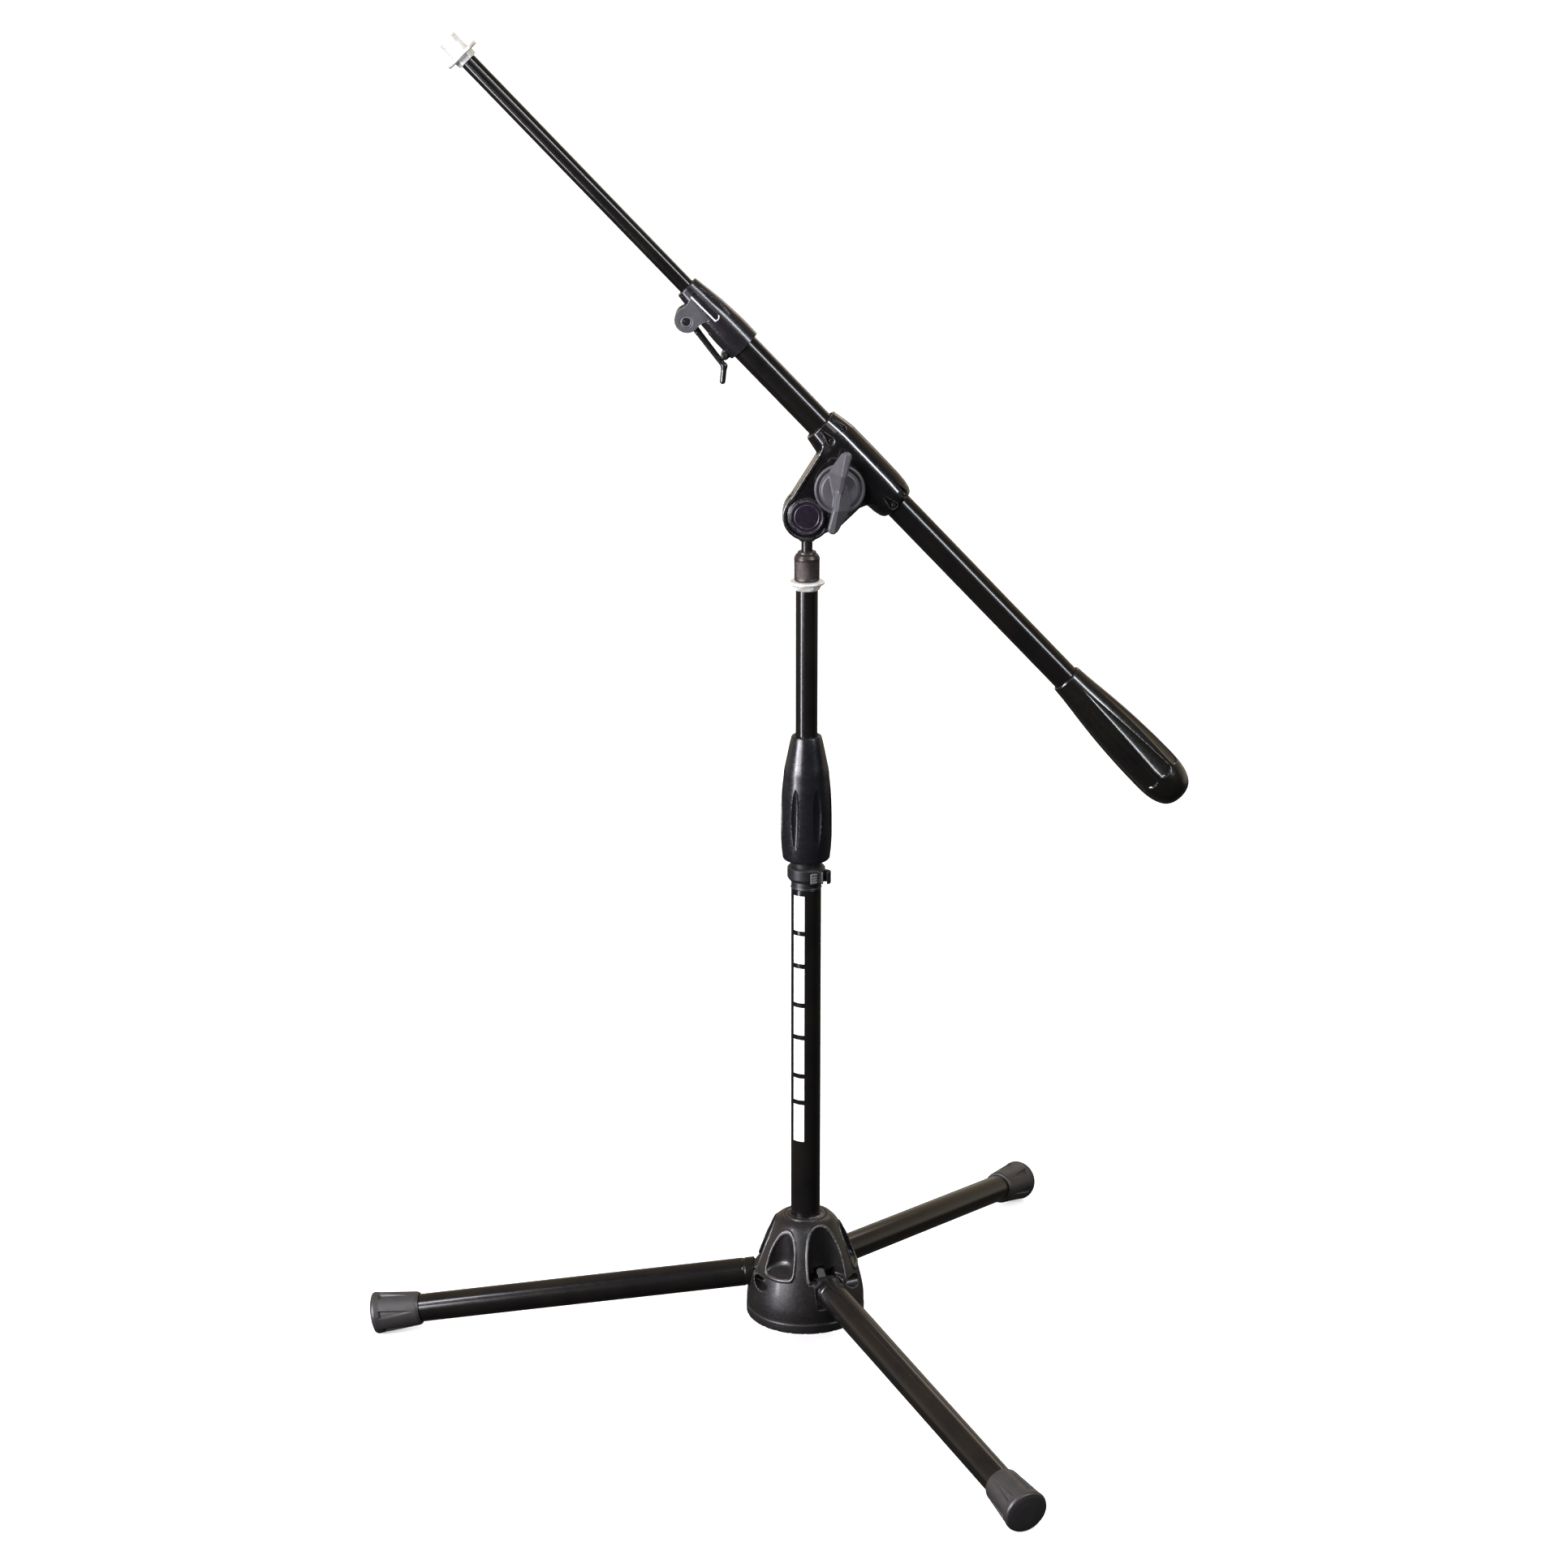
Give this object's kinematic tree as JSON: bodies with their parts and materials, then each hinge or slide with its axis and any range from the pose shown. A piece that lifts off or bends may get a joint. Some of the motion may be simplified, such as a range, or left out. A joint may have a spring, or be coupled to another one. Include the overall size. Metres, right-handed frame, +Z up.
{
  "type": "microphone stand",
  "caption": "Short tripod microphone stand with folding tube legs, a twist-clutch mast and a tilting two-piece boom with a counterweight.",
  "frame": {"origin": "middle of the object's box at floor level, 34.2 mm in -X and 8.7 mm in -Y from the mast axis", "axes": "+Z up along the mast; the boom lies in the XZ plane through the mast with its threaded tip up towards -X and its counterweight towards +X; -Y is the front, where the wing screw is"},
  "size_m": [0.7058, 0.6834, 1.1221],
  "materials": {
    "base_cast": "satin",
    "base_ring": "satin",
    "zinc_bright": "bright zinc",
    "tube_black": "gloss powder coat",
    "foot_rubber": "matte",
    "plastic_black": "satin",
    "handle_grey": "satin",
    "knob_grey": "fine grain",
    "coupling_metal": "dark nickel",
    "clamp_black": "gloss paint over zinc-aluminium casting",
    "clutch_casting": "satin grey paint",
    "weight_black": "gloss paint"
  },
  "bodies": {
    "base": {"base_housing": "base_cast", "base_bottom_ring": "base_ring", "base_washer": "zinc_bright", "base_socket_screw": "zinc_bright", "leg_pivot_pins": "zinc_bright", "lower_mast_tube": "tube_black", "lower_mast_plug": "plastic_black", "mast_clutch_body": "plastic_black", "mast_clutch_collet": "plastic_black"},
    "leg_left": {"leg_tube_left": "tube_black", "leg_knuckle_left": "zinc_bright", "leg_detent_left": "zinc_bright", "foot_cap_left": "foot_rubber"},
    "leg_back": {"leg_tube_back": "tube_black", "leg_knuckle_back": "zinc_bright", "leg_detent_back": "zinc_bright", "foot_cap_back": "foot_rubber"},
    "leg_front": {"leg_tube_front": "tube_black", "leg_knuckle_front": "zinc_bright", "leg_detent_front": "zinc_bright", "foot_cap_front": "foot_rubber"},
    "clip": {"cable_clip": "plastic_black", "cable_clip_plate": "zinc_bright"},
    "handle": {"mast_clutch_handle": "handle_grey"},
    "upper_mast": {"upper_mast_tube": "tube_black", "upper_mast_guide": "plastic_black", "mast_top_stud": "zinc_bright", "mast_top_flange": "zinc_bright"},
    "coupling": {"coupling_nut": "coupling_metal"},
    "boom_post": {"swivel_post": "coupling_metal"},
    "clamp": {"boom_clamp_front": "clamp_black", "boom_clamp_back": "clamp_black", "clamp_set_screws": "zinc_bright", "pivot_friction_washers": "plastic_black", "pivot_pin": "zinc_bright", "pivot_cap_front": "plastic_black", "pivot_cap_back": "plastic_black", "wing_screw_nut": "zinc_bright", "wing_nut_washer": "zinc_bright"},
    "wing": {"wing_knob": "knob_grey", "wing_screw": "zinc_bright"},
    "liner": {"clamp_liner": "plastic_black"},
    "outer_boom": {"boom_outer_tube": "tube_black", "counterweight": "weight_black", "counterweight_plug": "plastic_black", "counterweight_stud": "zinc_bright", "boom_clutch_casting": "clutch_casting", "boom_clutch_screw": "zinc_bright", "cam_pin": "zinc_bright", "boom_clutch_shoe": "plastic_black"},
    "lever": {"cam_lever": "zinc_bright"},
    "inner_boom": {"boom_inner_tube": "tube_black", "boom_inner_guide": "plastic_black", "boom_tip_stud": "zinc_bright", "boom_tip_flange": "zinc_bright", "boom_tip_pin": "zinc_bright"}
  },
  "joints": [
    {"name": "leg_left_fold", "type": "hinge", "parent": "base", "child": "leg_left", "pos_m": [-0.00327, 0.01054, 0.06945], "axis": [0.0489, 0.9988, 0], "range_deg": [0, 98]},
    {"name": "leg_back_fold", "type": "hinge", "parent": "base", "child": "leg_back", "pos_m": [0.0545, 0.04023, 0.06945], "axis": [0.8406, -0.5417, 0], "range_deg": [0, 98]},
    {"name": "leg_front_fold", "type": "hinge", "parent": "base", "child": "leg_front", "pos_m": [0.05133, -0.02464, 0.06945], "axis": [-0.8894, -0.4571, 0], "range_deg": [0, 98]},
    {"name": "clip_turn", "type": "hinge", "parent": "base", "child": "clip", "pos_m": [0.03419, 0.00871, 0.4375], "axis": [0, 0, 1], "continuous": true},
    {"name": "mast_clutch_turn", "type": "hinge", "parent": "base", "child": "handle", "pos_m": [0.03419, 0.00871, 0.5], "axis": [0, 0, 1], "range_deg": [0, 90]},
    {"name": "mast_height", "type": "slide", "parent": "base", "child": "upper_mast", "axis": [0, 0, 1], "range_m": [-0.118, 0.1]},
    {"name": "coupling_turn", "type": "hinge", "parent": "upper_mast", "child": "coupling", "pos_m": [0.03419, 0.00871, 0.7], "axis": [0, 0, 1], "continuous": true},
    {"name": "boom_swivel", "type": "hinge", "parent": "upper_mast", "child": "boom_post", "pos_m": [0.03419, 0.00871, 0.72], "axis": [0, 0, 1], "continuous": true},
    {"name": "boom_tilt", "type": "hinge", "parent": "boom_post", "child": "clamp", "pos_m": [0.03419, 0.00871, 0.7435], "axis": [0, 1, 0], "range_deg": [-128, 40]},
    {"name": "wing_turn", "type": "hinge", "parent": "clamp", "child": "wing", "pos_m": [0.06039, 0.00871, 0.76762], "axis": [0, -1, 0], "continuous": true},
    {"name": "boom_roll", "type": "hinge", "parent": "clamp", "child": "liner", "pos_m": [0.07599, 0.00871, 0.78399], "axis": [-0.6957, 0, 0.7184], "continuous": true},
    {"name": "boom_slide", "type": "slide", "parent": "liner", "child": "outer_boom", "axis": [-0.6957, 0, 0.7184], "range_m": [-0.082, 0.198]},
    {"name": "cam_flip", "type": "hinge", "parent": "outer_boom", "child": "lever", "pos_m": [-0.06203, 0.00871, 0.89992], "axis": [0, 1, 0], "range_deg": [0, 100]},
    {"name": "boom_extension", "type": "slide", "parent": "outer_boom", "child": "inner_boom", "axis": [-0.6957, 0, 0.7184], "range_m": [-0.238, 0.08]}
  ]
}
